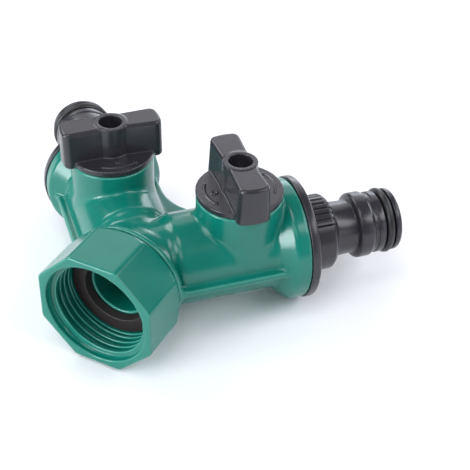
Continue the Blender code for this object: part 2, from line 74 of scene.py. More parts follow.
# Body. A slope is a cone's widening along its axis, then about hypot(1, widening).
TUBE_RADIUS = 0.0115
BELL_RADIUS = 0.01535
BELL_SHOULDER = 0.0362
BELL_END = 0.03965
BELL_SLOPE = (0.95, 1.38)
ROOT_RADIUS = 0.0105
ROOT_END = 0.0066
ROOT_SLOPE = (0.6, 1.17)
INLET_BORE = 0.0071
BRANCH_BORE = 0.0055
CHAMBER_RADIUS = 0.0086
CHAMBER = (0.0171, 0.0336)
SOCKET_RADIUS = 0.0105
SEAL_POCKET = (0.0129, 0.0379)
TAIL_RADIUS = 0.0098
TAIL_FRONT = -0.0094
TAIL_GROOVE = (-0.0088, -0.0075)
TAIL_GROOVE_RADIUS = 0.0088
SPLIT_RING_MIDDLE = 0.01075
SPLIT_RING_REACH = 0.00165
SPLIT_RING_THICKNESS = 0.0007
COLLAR_RADIUS = 0.0146
COLLAR = (-0.0056, -0.0042)
NECK_RADIUS = 0.0112
BOSS_RADIUS = 0.0106
BOSS_TOP = 0.0162
# Steps of the hollows: radius, start, end
WATERWAY = (
    (BRANCH_BORE, 0, 0.030),
    (CHAMBER_RADIUS, CHAMBER[0], 0.038),
    (SOCKET_RADIUS, CHAMBER[1], 0.045),
    (*SEAL_POCKET, 0.045),
)
STEM_WAY = ((0.0042, 0, 0.020), (0.0053, 0, 0.0102), (0.0059, 0.0120, 0.020))
RIB = (-0.0012, 0.0005)
RIB_OFFSET = 0.0137
RIB_END = 0.0374
CROTCH_RADIUS = 0.0147
CROTCH_CENTRE = (RIB_OFFSET + CROTCH_RADIUS) * math.sqrt(2)

# Nut
NUT_SIDES = 8
MOUTH_RADIUS = 0.0134
THREAD_MAJOR = 0.0132
THREAD_MINOR = 0.0121
THREAD_PITCH = 0.001814
THREAD = (-0.0191, -0.0114)
WASHER_THICKNESS = 0.0020
NUT_LIP = 0.0012
NUT_LIP_RADIUS = 0.0101
NUT_CORNER = 0.0020
NUT_REAR_RADIUS = 0.0148
NUT_REAR_SLOPE = (-0.9, 1.345)
NUT_MOUTH_SLOPE = (-1, 1.41)

# Valve
HANDLE_RADIUS = 0.01067
HANDLE_DISC = (0.0165, 0.0180)
HANDLE_TOP = 0.0260
POST_TOP = 0.0261
POST_RADIUS = 0.0042
HANDLE_REACH = 0.0128
BAR_SHIFT = 0.00035
HANDLE_HOLE = (0.0029, 0.0197)
HANDLE_HUB = (0.0056, 0.0123)
LEG_INNER = 0.0110
LEG_BOTTOM = 0.0162
ARROW_RADIUS = 0.0086
ARROW_ANGLES = (math.radians(60), math.radians(118))
ARROW_HEAD = 0.0009
RING_RADIUS = 0.0007
DOT_RADIUS = 0.0006
DOT_PLACE = 0.0064
MARK_WIDTH = 0.0005
MARK_HEIGHT = 0.00022
STEM_SQUARE = 0.0048
STEM_SOCKET = (0.0054, 0.0054, 0.0080)
STEM_TOP = 0.0184
STEM_SHOULDER = (0.0083, 0.0092)
STEM_KEY = (0.0090, 0.0026, 0.0022)
SCREW_PITCH = 0.0007
SCREW_HOLE = 0.0015
SCREW_TOP = 0.0216
BALL_RADIUS = 0.0080
BALL_BORE = 0.0048
BALL_SLOT = (0.0016, 0.0061)

# Outlet adaptor
FLANGE = (0.03977, 0.04205)
FLANGE_RADIUS = 0.01566
GRIP_RADIUS = 0.00975
GRIP_FRONT = 0.0484
KNURL_STEP = math.radians(10)
KNURL_SPAN = math.radians(45)
KNURL_DEPTH = 0.00055
KNURL_END = 0.0499
KNURL_INNER = 0.0087
SPOUT_END = 0.0676


# Placing
def along_axis(side):
    """Branch frame to world: +Z out along the branch, -Y up."""
    turn = Matrix.Rotation(-side * BRANCH_ANGLE, 4, "Z") @ Matrix.Rotation(-math.pi / 2, 4, "X")
    return Matrix.Translation(JUNCTION) @ turn


def valve_axis(side, name):
    """Valve frame to world, at pipe height."""
    return Matrix.Translation(VALVE_AT[name]) @ Matrix.Rotation(-side * BRANCH_ANGLE, 4, "Z")


TURNED = {"left": Matrix.Rotation(math.pi, 4, "Z"), "right": Matrix.Identity(4)}
INLET_AXIS = Matrix.Translation(JUNCTION) @ Matrix.Rotation(-math.pi / 2, 4, "X")
JUNCTION_FRAME = Matrix.Translation(JUNCTION)


def add_piece(name, mesh, place, body, nodes, finish):
    """One visible piece: placed, riding its body, and standing for its CAD nodes."""
    piece = bpy.data.objects.new(name, mesh.copy())
    piece.data.transform(place)
    piece.data.materials.append(finish)
    bpy.context.scene.collection.objects.link(piece)
    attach(piece, body)
    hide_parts(*nodes)
    return piece


# Meshes
def add_sharpness(mesh):
    """Each point's convexity as an attribute: 0 on a flat, up to 1 at a sharp outer corner."""
    count = len(mesh.vertices)
    points = np.empty(count * 3)
    mesh.vertices.foreach_get("co", points)
    points = points.reshape(-1, 3)
    normals = np.empty(count * 3)
    mesh.vertex_normals.foreach_get("vector", normals)
    ends = np.empty(len(mesh.edges) * 2, np.int64)
    mesh.edges.foreach_get("vertices", ends)
    ends = ends.reshape(-1, 2)
    ways = points[ends[:, 1]] - points[ends[:, 0]]
    ways /= np.maximum(np.linalg.norm(ways, axis=1), 1e-9)[:, None]
    degree = np.bincount(ends.ravel(), minlength=count)
    pull = np.empty((count, 3))
    for axis in range(3):
        out = np.bincount(ends[:, 0], weights=ways[:, axis], minlength=count)
        back = np.bincount(ends[:, 1], weights=ways[:, axis], minlength=count)
        pull[:, axis] = (out - back) / degree
    sharpness = -(pull * normals.reshape(-1, 3)).sum(1)
    attribute = mesh.attributes.new("sharpness", "FLOAT", "POINT")
    attribute.data.foreach_set("value", sharpness.astype(np.float32))


def mesh_from(name, points, faces):
    """A smooth mesh of quads that faces outwards."""
    corner = points[faces]
    normal = np.cross(corner[:, 2] - corner[:, 0], corner[:, 3] - corner[:, 1])
    if (corner.mean(1) * normal).sum() < 0:
        faces = faces[:, ::-1]
    mesh = bpy.data.meshes.new(name)
    mesh.vertices.add(len(points))
    mesh.vertices.foreach_set("co", points.astype(np.float32).ravel())
    mesh.loops.add(faces.size)
    mesh.loops.foreach_set("vertex_index", faces.astype(np.int32).ravel())
    mesh.polygons.add(len(faces))
    mesh.polygons.foreach_set("loop_start", np.arange(0, faces.size, 4, dtype=np.int32))
    mesh.update(calc_edges=True)
    mesh.validate()
    mesh.shade_smooth()
    add_sharpness(mesh)
    return mesh


def sample(field, low, high, step, block=6):
    """The field on a grid: true values near its surface, only the sign elsewhere."""
    blocks = np.ceil((high - low) / (step * block)).astype(int)
    count = blocks * block + 1
    middles = [low[i] + step * block * (np.arange(blocks[i]) + 0.5) for i in range(3)]
    coarse_points = np.stack(np.meshgrid(*middles, indexing="ij"), -1).reshape(-1, 3)
    coarse = field(coarse_points).reshape(blocks)
    grid = np.ones(count, np.float32)
    spread = np.sign(coarse)
    for axis in range(3):
        spread = np.repeat(spread, block, axis)
    grid[:-1, :-1, :-1] = spread
    near = np.argwhere(np.abs(coarse) < step * block * 1.15)
    offsets = np.stack(np.meshgrid(*[np.arange(block + 1)] * 3, indexing="ij"), -1).reshape(-1, 3)
    fine = (near[:, None] * block + offsets[None]).reshape(-1, 3)
    flat = np.unique(np.ravel_multi_index(fine.T, count))
    index = np.stack(np.unravel_index(flat, count), 1)
    grid.ravel()[flat] = field(low + step * index)
    return grid


def net(grid, low, step):
    """Surface nets: a point in each cell that the surface crosses, a quad over each crossed edge."""
    count = np.array(grid.shape)
    inside = grid < 0
    corners = [(i, j, k) for i in (0, 1) for j in (0, 1) for k in (0, 1)]
    filled = np.zeros(count - 1, np.int8)
    for i, j, k in corners:
        filled += inside[i : count[0] - 1 + i, j : count[1] - 1 + j, k : count[2] - 1 + k]
    mixed = (filled > 0) & (filled < 8)
    cells = np.argwhere(mixed)
    number = np.full(mixed.shape, -1, np.int64)
    number[mixed] = np.arange(len(cells))
    total = np.zeros((len(cells), 3))
    crossings = np.zeros(len(cells))
    for start in corners:
        for axis in range(3):
            if start[axis]:
                continue
            first = cells + np.array(start)
            second = first.copy()
            second[:, axis] += 1
            a = grid[tuple(first.T)].astype(float)
            b = grid[tuple(second.T)].astype(float)
            crossed = (a < 0) != (b < 0)
            share = np.where(crossed, a / np.where(crossed, a - b, 1), 0)
            point = first.astype(float)
            point[:, axis] += share
            total += point * crossed[:, None]
            crossings += crossed
    points = low + step * total / crossings[:, None]
    faces = []
    for axis in range(3):
        one, two = (axis + 1) % 3, (axis + 2) % 3
        head = np.take(inside, range(count[axis] - 1), axis)
        tail = np.take(inside, range(1, count[axis]), axis)
        edge = np.argwhere(head != tail)
        edge = edge[(edge[:, one] > 0) & (edge[:, two] > 0)]
        step_one = np.eye(3, dtype=int)[one]
        step_two = np.eye(3, dtype=int)[two]
        around = (edge - step_one - step_two, edge - step_two, edge, edge - step_one)
        quad = np.stack([number[tuple(cell.T)] for cell in around], 1)
        outwards = head[tuple(edge.T)]
        quad[~outwards] = quad[~outwards][:, ::-1]
        faces.append(quad)
    return points, np.concatenate(faces)


def settle(field, points, faces, step, rounds=2):
    """Evens out the points along the surface and moves them onto it exactly."""
    reach = step * 0.02
    for turn in range(rounds + 1):
        for _ in range(3):
            value = field(points)
            slope = np.empty_like(points)
            for axis in range(3):
                shift = np.eye(3)[axis] * reach
                slope[:, axis] = (field(points + shift) - field(points - shift)) / (2 * reach)
            size = np.maximum((slope * slope).sum(1), 0.1)
            move = slope * (value / size)[:, None]
            length = np.linalg.norm(move, axis=1)
            points = points - move * np.minimum(1, step * 0.5 / np.maximum(length, 1e-12))[:, None]
        if turn == rounds:
            return points
        middle = points[faces].mean(1)
        total = np.zeros_like(points)
        for axis in range(3):
            weights = np.repeat(middle[:, axis], 4)
            total[:, axis] = np.bincount(faces.ravel(), weights=weights, minlength=len(points))
        share = np.bincount(faces.ravel(), minlength=len(points))
        points = total / share[:, None]


def field_mesh(name, field, low, high, step):
    """The surface where the field is 0. The grid is set off so that no flat lies in its planes."""
    low = np.array(low) + step * 0.137
    grid = sample(field, low, np.array(high), step)
    points, faces = net(grid, low, step)
    points = settle(field, points, faces, step)
    return mesh_from(name, points, faces)


def rounded(corners, segments=4):
    """A closed (radius, height) profile from corners of (radius, height, fillet)."""
    points = []
    for index, (radius, height, fillet) in enumerate(corners):
        here = Vector((radius, height))
        before = Vector(corners[index - 1][:2]) - here
        after = Vector(corners[(index + 1) % len(corners)][:2]) - here
        half = before.angle(after) / 2
        if fillet == 0 or half > math.radians(89):
            points.append((radius, height))
            continue
        inward = (before.normalized() + after.normalized()).normalized()
        centre = here + inward * fillet / math.sin(half)
        start = here + before.normalized() * fillet / math.tan(half) - centre
        sweep = start.angle_signed(here + after.normalized() * fillet / math.tan(half) - centre)
        for i in range(segments + 1):
            spoke = start.copy()
            spoke.rotate(Matrix.Rotation(-sweep * i / segments, 2))
            points.append(tuple(centre + spoke))
    return points


def turned_mesh(name, profile, steps, wave=None):
    """A closed profile turned about local Z. A wave(angles, radii, heights) changes the radius."""
    radii = np.array([point[0] for point in profile])
    heights = np.array([point[1] for point in profile])
    angles = np.arange(steps) * 2 * math.pi / steps
    grid_angle, grid_radius = np.meshgrid(angles, radii, indexing="ij")
    grid_height = np.broadcast_to(heights, grid_angle.shape)
    if wave:
        grid_radius = grid_radius + wave(grid_angle, grid_radius, grid_height)
    across = grid_radius * np.cos(grid_angle)
    up = grid_radius * np.sin(grid_angle)
    points = np.stack([across, up, grid_height], -1).reshape(-1, 3)
    size = len(profile)
    ring = np.arange(steps)[:, None] * size
    next_ring = np.roll(np.arange(steps), -1)[:, None] * size
    here = np.arange(size)[None]
    following = np.roll(np.arange(size), -1)[None]
    quads = np.stack([ring + here, next_ring + here, next_ring + following, ring + following], -1)
    return mesh_from(name, points, quads.reshape(-1, 4))


def add_turned(name, corners, steps, place, body, finish, wave=None):
    """A turned piece that replaces the CAD node of its own name."""
    mesh = turned_mesh(name, rounded(corners), steps, wave)
    piece = add_piece(name + "_fine", mesh, place, body, [name], finish)
    normals = piece.modifiers.new("even_normals", "WEIGHTED_NORMAL")
    normals.keep_sharp = True
    return piece


# Distance fields
def rod(radial, along, radius, low, high, edge=0.00005):
    """A round bar: distance from its axis, place along it, its ends, its rims' rounding."""
    side = radial - radius + edge
    end = np.abs(along - (low + high) / 2) - (high - low) / 2 + edge
    outside = np.hypot(np.maximum(side, 0), np.maximum(end, 0))
    return outside + np.minimum(np.maximum(side, end), 0) - edge


def join(a, b, fillet=0.00005):
    """Both solids, with a fillet where they meet."""
    corner = np.hypot(np.maximum(fillet - a, 0), np.maximum(fillet - b, 0))
    return np.maximum(fillet, np.minimum(a, b)) - corner


def meet(a, b, edge=0.00005):
    """What the solids share, with rounded edges."""
    return -join(-a, -b, edge)


def carve(a, b, edge=0.00005):
    """The first solid without the second."""
    return meet(a, -b, edge)


def slab(place, low, high):
    """What lies between two parallel planes."""
    return np.abs(place - (low + high) / 2) - (high - low) / 2


def cone(radial, along, radius, place, slope, scale):
    """A cone of that radius at place. scale, about hypot(1, slope), keeps the field a distance."""
    return (radial - radius - (along - place) * slope) / scale


def brick(x, y, z, size):
    """A box of the given full size about the origin."""
    sides = np.maximum(np.abs(x) - size[0] / 2, np.abs(y) - size[1] / 2)
    return np.maximum(sides, np.abs(z) - size[2] / 2)


def ease(value, low, high):
    """0 below low, 1 above high, smooth between."""
    share = np.clip((value - low) / (high - low), 0, 1)
    return share * share * (3 - 2 * share)


def branch_distances(p, side):
    """Place along the branch, outward offset from it, and distance from its axis."""
    x, y, z = p.T
    along = (side * x + y) / math.sqrt(2)
    outward = (side * x - y) / math.sqrt(2)
    return along, outward, np.hypot(outward, z)


def branch_outer(along, radial, from_stem, z):
    """A branch: its tube with a thinner root, its bell, and the boss over the ball."""
    tube = rod(radial, along, TUBE_RADIUS, 0, BELL_END)
    tube = meet(tube, cone(radial, along, ROOT_RADIUS, ROOT_END, *ROOT_SLOPE), 0.0004)
    tube = join(tube, rod(radial, along, ROOT_RADIUS, -0.002, 0.012), 0.0006)
    bell = rod(radial, along, BELL_RADIUS, 0.0300, BELL_END, 0.0003)
    bell = meet(bell, cone(radial, along, BELL_RADIUS, BELL_SHOULDER, *BELL_SLOPE), 0.0004)
    boss = rod(from_stem, z, BOSS_RADIUS, -0.004, BOSS_TOP, 0.0003)
    return join(join(tube, bell, 0.0006), boss, 0.0010)


def branch_hollow(along, radial, from_stem, z):
    """The water's way, the ball's chamber, the adaptor's socket, and the stem's stepped way up."""
    waterway = reduce(join, [rod(radial, along, *step) for step in WATERWAY])
    stem_way = reduce(join, [rod(from_stem, z, *step) for step in STEM_WAY])
    return join(waterway, stem_way)


def web_field(x, y, z, strips):
    """The thin rib round the body at mid height, with a rounded web between the branches."""
    crotch = CROTCH_RADIUS - np.hypot(x, y - CROTCH_CENTRE)
    wedge = np.maximum(np.abs(x) - y, np.abs(x) + y - CROTCH_CENTRE) / math.sqrt(2)
    sheet = np.minimum(np.minimum(*strips), np.maximum(crotch, wedge))
    sheet = np.maximum(sheet, COLLAR[1] - 0.0006 - y)
    return meet(sheet, slab(z, *RIB), 0.0004)


def body_field(p):
    x, y, z = p.T
    from_inlet = np.hypot(x, z)
    branches, strips, hollows = [], [], []
    for side in SIDES.values():
        along, outward, radial = branch_distances(p, side)
        from_stem = np.hypot(x - side * SIDEWAYS, y - SIDEWAYS)
        branches.append(branch_outer(along, radial, from_stem, z))
        hollows.append(branch_hollow(along, radial, from_stem, z))
        strips.append(np.maximum(np.abs(outward) - RIB_OFFSET, np.maximum(-along, along - RIB_END)))
    outer = join(*branches, 0.0004)
    outer = join(outer, rod(from_inlet, y, NECK_RADIUS, COLLAR[0], 0.0010, 0.0010), 0.0012)
    outer = join(outer, web_field(x, y, z, strips), 0.0007)
    outer = join(outer, rod(from_inlet, y, COLLAR_RADIUS, *COLLAR, 0.0003), 0.0014)
    tail = rod(from_inlet, y, TAIL_RADIUS, TAIL_FRONT, 0, 0.0004)
    tail = carve(tail, np.maximum(TAIL_GROOVE_RADIUS - from_inlet, slab(y, *TAIL_GROOVE)))
    hollow = join(*hollows)
    hollow = join(hollow, rod(from_inlet, y, INLET_BORE, -0.020, 0.003, 0.002), 0.0006)
    return carve(join(outer, tail), hollow, 0.0003)


def octagon(radial, angle, apothem, edge):
    """Distance to a prism's flats; its corners are rounded by edge."""
    sector = 2 * math.pi / NUT_SIDES
    turned = (angle + sector / 2) % sector - sector / 2
    out = radial * np.cos(turned) - apothem + edge
    past = np.abs(radial * np.sin(turned)) - (apothem - edge) * math.tan(sector / 2)
    return np.where(past > 0, np.hypot(out, past), out) - edge


def thread_wall(x, y, z):
    """The bore's radius: a helix of crests whose first is wide, then the washer's tight seat."""
    turns = (y - THREAD[0]) / THREAD_PITCH - np.arctan2(x, z) / (2 * math.pi)
    wave = np.cos(2 * math.pi * turns)
    from_start = turns - (x < 0)
    first = ease(wave, -0.80, 0.20) * (from_start > -0.5)
    crest = np.where(from_start < 0.5, first, ease(wave, -0.15, 0.75))
    seat = ease(y, THREAD[1] - 0.0006, THREAD[1] - 0.0003)
    seat_end = THREAD[1] + WASHER_THICKNESS
    seat = seat * (1 - ease(y, seat_end, THREAD[1] + 0.0022))
    height = np.maximum(crest * (y < THREAD[1]), seat)
    counterbore = (MOUTH_RADIUS - THREAD_MAJOR) * (1 - ease(y, THREAD[0] - 0.0003, THREAD[0]))
    return THREAD_MAJOR - (THREAD_MAJOR - THREAD_MINOR) * height + counterbore


def nut_field(p):
    x, y, z = p.T
    radial = np.hypot(x, z)
    sides = octagon(radial, np.arctan2(z, x), NUT_APOTHEM, NUT_CORNER)
    outer = meet(sides, slab(y, NUT_MOUTH, NUT_REAR), 0.00045)
    outer = meet(outer, cone(radial, y, NUT_REAR_RADIUS, NUT_REAR, *NUT_REAR_SLOPE), 0.0004)
    bore = np.maximum(radial - thread_wall(x, y, z), y - (NUT_REAR - NUT_LIP))
    bore = np.minimum(bore, cone(radial, y, MOUTH_RADIUS + 0.0002, NUT_MOUTH, *NUT_MOUTH_SLOPE))
    bore = np.minimum(bore, radial - NUT_LIP_RADIUS)
    return carve(outer, bore, 0.0002)


def bar_field(x, y, z, radial):
    """The handle's grip bar: drafted sides, a waist by the post, round ends with legs below."""
    flare = 0.0034 + 0.05 * np.maximum(np.abs(x) - POST_RADIUS, 0)
    side = np.abs(y + BAR_SHIFT) - flare - 0.055 * (HANDLE_TOP - z)
    plan = meet(side, radial - HANDLE_REACH + 0.01 * (z - LEG_BOTTOM), 0.0015)
    bar = meet(meet(plan, z - HANDLE_TOP, 0.0008), LEG_BOTTOM - z, 0.0006)
    return carve(bar, rod(radial, z, LEG_INNER, 0.010, 0.0172, 0.0001), 0.0002)


def mark_field(x, y, z, radial):
    """Raised marks on the disc: a curved arrow at each side of the bar, a ring and a dot."""
    angle = np.arctan2(np.abs(y), x * np.sign(y))
    across = np.abs(radial - ARROW_RADIUS)
    before = ARROW_RADIUS * (ARROW_ANGLES[0] - angle)
    beyond = ARROW_RADIUS * (angle - ARROW_ANGLES[1])
    arc = np.maximum(across - MARK_WIDTH / 2, np.maximum(before, beyond))
    head = np.maximum(across - ARROW_HEAD + beyond * 0.9, -beyond)
    around = np.hypot(x, np.abs(y) - DOT_PLACE)
    ring = np.abs(around - RING_RADIUS) - MARK_WIDTH / 2
    dot = around - DOT_RADIUS
    mark = np.minimum(np.minimum(arc, head), np.where(y < 0, ring, dot))
    return np.maximum(mark, np.abs(z - HANDLE_DISC[1]) - MARK_HEIGHT)


def handle_field(p):
    x, y, z = p.T
    radial = np.hypot(x, y)
    disc = rod(radial, z, HANDLE_RADIUS, *HANDLE_DISC, 0.0003)
    disc = join(disc, mark_field(x, y, z, radial), 0.0001)
    post = rod(radial - 0.02 * (POST_TOP - z), z, POST_RADIUS, 0.017, POST_TOP, 0.0003)
    handle = join(bar_field(x, y, z, radial), post, 0.0003)
    handle = join(handle, disc, 0.0003)
    handle = join(handle, rod(radial, z, HANDLE_HUB[0], HANDLE_HUB[1], 0.0170, 0.0003))
    handle = carve(handle, rod(radial, z, HANDLE_HOLE[0], HANDLE_HOLE[1], 0.030), 0.0003)
    handle = carve(handle, rod(radial, z, SCREW_HOLE, 0.010, 0.022))
    return carve(handle, brick(x, y, z - 0.0147, STEM_SOCKET))


def screw_field(p):
    x, y, z = p.T
    radial = np.hypot(x, y)
    dome = np.sqrt(radial**2 + (z - 0.0180) ** 2) - 0.0036
    head = meet(rod(radial, z, 0.0026, 0.0200, 0.0230), dome, 0.0002)
    head = meet(head, z - SCREW_TOP, 0.0002)
    turns = (z - 0.0136) / SCREW_PITCH + np.arctan2(y, x) / (2 * math.pi)
    ridge = 0.00018 * np.cos(2 * math.pi * turns) * (1 - ease(z, 0.0188, 0.0192))
    shank = rod(radial - ridge, z, 0.00115, 0.0136, 0.0205)
    arm_depth = z - 0.0207 - radial * 0.3
    cross = np.minimum(np.abs(x), np.abs(y)) - 0.00035
    recess = np.maximum(np.maximum(cross, radial - 0.0016), -arm_depth)
    return carve(join(head, shank, 0.0002), recess, 0.0001)


def ball_field(p):
    x, y, z = p.T
    ball = np.sqrt(x * x + y * y + z * z) - BALL_RADIUS
    ball = carve(ball, np.hypot(y, z) - BALL_BORE, 0.0003)
    return carve(ball, np.maximum(np.abs(y) - BALL_SLOT[0], BALL_SLOT[1] - z), 0.0002)


def stem_field(p):
    x, y, z = p.T
    radial = np.hypot(x, y)
    shaft = rod(radial, z, 0.0039, 0.0090, 0.0123, 0.0002)
    groove = np.maximum(0.0024 - radial, np.abs(z - 0.0110) - 0.0008)
    shaft = carve(shaft, groove, 0.0001)
    shoulder = rod(radial, z, 0.0050, *STEM_SHOULDER, 0.0002)
    top = STEM_TOP - 0.0115
    square = brick(x, y, z - STEM_TOP + top / 2, (STEM_SQUARE, STEM_SQUARE, top))
    key = meet(brick(x, y, z - 0.0075, STEM_KEY), radial - 0.0045, 0.0002)
    solid = join(join(join(shaft, shoulder, 0.0001), square), key)
    return carve(solid, rod(radial, z, SCREW_HOLE, 0.0132, 0.020), 0.0001)


def retaining_field(p):
    x, y, z = p.T
    radial = np.hypot(x, z)
    half = SPLIT_RING_THICKNESS / 2
    thin = np.abs(y - (TAIL_GROOVE[0] + 0.0003 + half)) - half
    ring = meet(np.abs(radial - SPLIT_RING_MIDDLE) - SPLIT_RING_REACH, thin, 0.0001)
    return carve(ring, np.maximum(np.abs(x) - 0.001, z), 0.0002)


# Materials
def finish(name, colour, roughness, grain, depth, mottle, edge_light, metallic=0.0):
    """A plastic, rubber or metal. grain is its bump's size in metres and depth its strength,
    mottle its tone's variation, and edge_light how far sharp outer edges are lightened: a painted
    highlight."""
    made = bpy.data.materials.new(name)
    made.use_nodes = True
    nodes = made.node_tree.nodes
    links = made.node_tree.links
    shader = nodes["Principled BSDF"]
    shader.inputs["Metallic"].default_value = metallic
    shader.inputs["IOR"].default_value = 1.5
    place = nodes.new("ShaderNodeTexCoord").outputs["Object"]

    def noise(size, detail):
        texture = nodes.new("ShaderNodeTexNoise")
        texture.inputs["Scale"].default_value = 1 / size
        texture.inputs["Detail"].default_value = detail
        links.new(place, texture.inputs["Vector"])
        return texture.outputs["Fac"]

    def spread(value, low, high):
        ranged = nodes.new("ShaderNodeMapRange")
        ranged.inputs["From Min"].default_value = 0.3
        ranged.inputs["From Max"].default_value = 0.7
        ranged.inputs["To Min"].default_value = low
        ranged.inputs["To Max"].default_value = high
        links.new(value, ranged.inputs["Value"])
        return ranged.outputs["Result"]

    tone = nodes.new("ShaderNodeMix")
    tone.data_type = "RGBA"
    tone.inputs["A"].default_value = (*[c * (1 - mottle) for c in colour], 1)
    tone.inputs["B"].default_value = (*[min(1, c * (1 + mottle)) for c in colour], 1)
    links.new(spread(noise(0.006, 3), 0, 1), tone.inputs["Factor"])
    # Painted highlight: the sharpness attribute mixes sharp outer edges towards a paler colour,
    # standing in for light caught on rounded edges.
    edges = nodes.new("ShaderNodeMapRange")
    edges.inputs["From Min"].default_value = 0.06
    edges.inputs["From Max"].default_value = 0.40
    edges.inputs["To Max"].default_value = edge_light
    sharpness = nodes.new("ShaderNodeAttribute")
    sharpness.attribute_name = "sharpness"
    links.new(sharpness.outputs["Fac"], edges.inputs["Value"])
    edge_highlight = nodes.new("ShaderNodeMix")
    edge_highlight.data_type = "RGBA"
    links.new(edges.outputs["Result"], edge_highlight.inputs["Factor"])
    links.new(tone.outputs["Result"], edge_highlight.inputs["A"])
    edge_highlight.inputs["B"].default_value = (*[min(1, c * 2.2 + 0.15 * edge_light) for c in colour], 1)
    links.new(edge_highlight.outputs["Result"], shader.inputs["Base Color"])
    varied = spread(noise(0.011, 4), roughness * 0.86, roughness * 1.14)
    links.new(varied, shader.inputs["Roughness"])
    bump = nodes.new("ShaderNodeBump")
    bump.inputs["Strength"].default_value = depth
    bump.inputs["Distance"].default_value = grain * 0.25
    links.new(noise(grain, 5), bump.inputs["Height"])
    links.new(bump.outputs["Normal"], shader.inputs["Normal"])
    return made


# name, colour, roughness, grain, depth, mottle, edge_light, metallic
GREEN = finish("green_plastic", (0.003, 0.170, 0.128), 0.20, 0.0009, 0.05, 0.05, 0.80)
BLACK = finish("black_plastic", (0.025, 0.023, 0.029), 0.25, 0.0004, 0.14, 0.12, 0.35)
RUBBER = finish("black_rubber", (0.015, 0.014, 0.015), 0.38, 0.0003, 0.15, 0.15, 0.10)
WASHER_RUBBER = finish("washer_rubber", (0.018, 0.011, 0.011), 0.50, 0.0003, 0.25, 0.15, 0.45)
WHITE = finish("white_plastic", (0.74, 0.74, 0.70), 0.38, 0.0006, 0.10, 0.03, 0.0)
CHROME = finish("ball_chrome", (0.74, 0.75, 0.77), 0.14, 0.0020, 0.03, 0.04, 0.0, 1.0)
STEEL = finish("screw_steel", (0.50, 0.50, 0.52), 0.32, 0.0003, 0.20, 0.10, 0.2, 1.0)


# Pieces
def make_body():
    reach = 0.0402
    low = (-reach, -0.0102, -0.0160)
    mesh = field_mesh("body", body_field, low, (reach, reach, 0.0170), 0.0004)
    add_piece("splitter_body", mesh, JUNCTION_FRAME, "housing", ["body"], GREEN)


def make_inlet():
    reach = NUT_APOTHEM / math.cos(math.pi / NUT_SIDES) + 0.0004
    low = (-reach, NUT_MOUTH - 0.0006, -reach)
    nut = field_mesh("nut", nut_field, low, (reach, NUT_REAR + 0.0006, reach), 0.00025)
    nodes = ["inlet_nut"]
    add_piece("swivel_nut_fine", nut, JUNCTION_FRAME, "swivel_nut", nodes, GREEN)
    reach = 0.0130
    low = (-reach, TAIL_GROOVE[0] - 0.0004, -reach)
    high = (reach, TAIL_GROOVE[1] + 0.0004, reach)
    ring = field_mesh("ring", retaining_field, low, high, 0.0002)
    nodes = ["nut_retaining_ring"]
    add_piece("split_ring", ring, JUNCTION_FRAME, "housing", nodes, WHITE)
    back = TAIL_FRONT - 0.0001
    front = back - WASHER_THICKNESS
    washer = [
        (0.0083, front, 0.0003),
        (0.0118, front, 0.0004),
        (0.0118, back, 0.0004),
        (0.0075, back, 0.0002),
    ]
    add_turned("inlet_washer", washer, 96, INLET_AXIS, "swivel_nut", WASHER_RUBBER)


def o_ring_corners(radius, section, height):
    """An O-ring as a square profile whose corners are rounded into a circle."""
    size = section * 0.999
    square = [(-1, -1), (1, -1), (1, 1), (-1, 1)]
    return [(radius + section * i, height + section * j, size) for i, j in square]


def make_valve_meshes():
    """The moving pieces of one valve, in the valve frame."""
    ball = 0.0085
    stem = 0.0054
    screw = 0.0030
    handle = (0.0130, 0.0113)
    return {
        "handle": field_mesh(
            "handle", handle_field, (-handle[0], -handle[1], 0.0118), (*handle, 0.0265), 0.0002
        ),
        "handle_screw": field_mesh(
            "screw", screw_field, (-screw, -screw, 0.0130), (screw, screw, 0.0222), 0.0001
        ),
        "ball": field_mesh("ball", ball_field, (-ball, -ball, -ball), (ball, ball, ball), 0.0003),
        "stem": field_mesh("stem", stem_field, (-stem, -stem, 0.0060), (stem, stem, 0.0188), 0.0002),
    }


def make_valve(name, side, meshes):
    place = valve_axis(side, name)
    body = name + "_valve"
    for label, slot, material in (
        ("handle", "black_plastic", BLACK),
        ("handle_screw", "screw_steel", STEEL),
        ("ball", "ball_chrome", CHROME),
        ("stem", "black_plastic", BLACK),
    ):
        node = name + "_" + label
        add_piece(node + "_fine", meshes[label], place @ TURNED[name], body, [node], material)
    washer = [
        (0.0042, 0.0095, 0.0001),
        (0.0050, 0.0095, 0.0001),
        (0.0050, 0.0100, 0.0001),
        (0.0042, 0.0100, 0.0001),
    ]
    add_turned(name + "_stem_washer", washer, 72, place, body, WHITE)
    seal = o_ring_corners(0.0033, 0.0007, 0.0110)
    add_turned(name + "_stem_o_ring", seal, 72, place, body, RUBBER)


def knurl(angles, radii, heights):
    """Grooves along the grip's top and bottom arcs."""
    from_top = (angles + math.pi / 2) % math.pi
    from_top = np.minimum(from_top, math.pi - from_top)
    inside = from_top < KNURL_SPAN
    groove = ease(np.cos(2 * math.pi * (from_top / KNURL_STEP + 0.5)), 0.0, 0.45)
    on_grip = (heights > FLANGE[1] + 0.0004) & (heights < KNURL_END) & (radii > KNURL_INNER)
    return -KNURL_DEPTH * groove * inside * on_grip


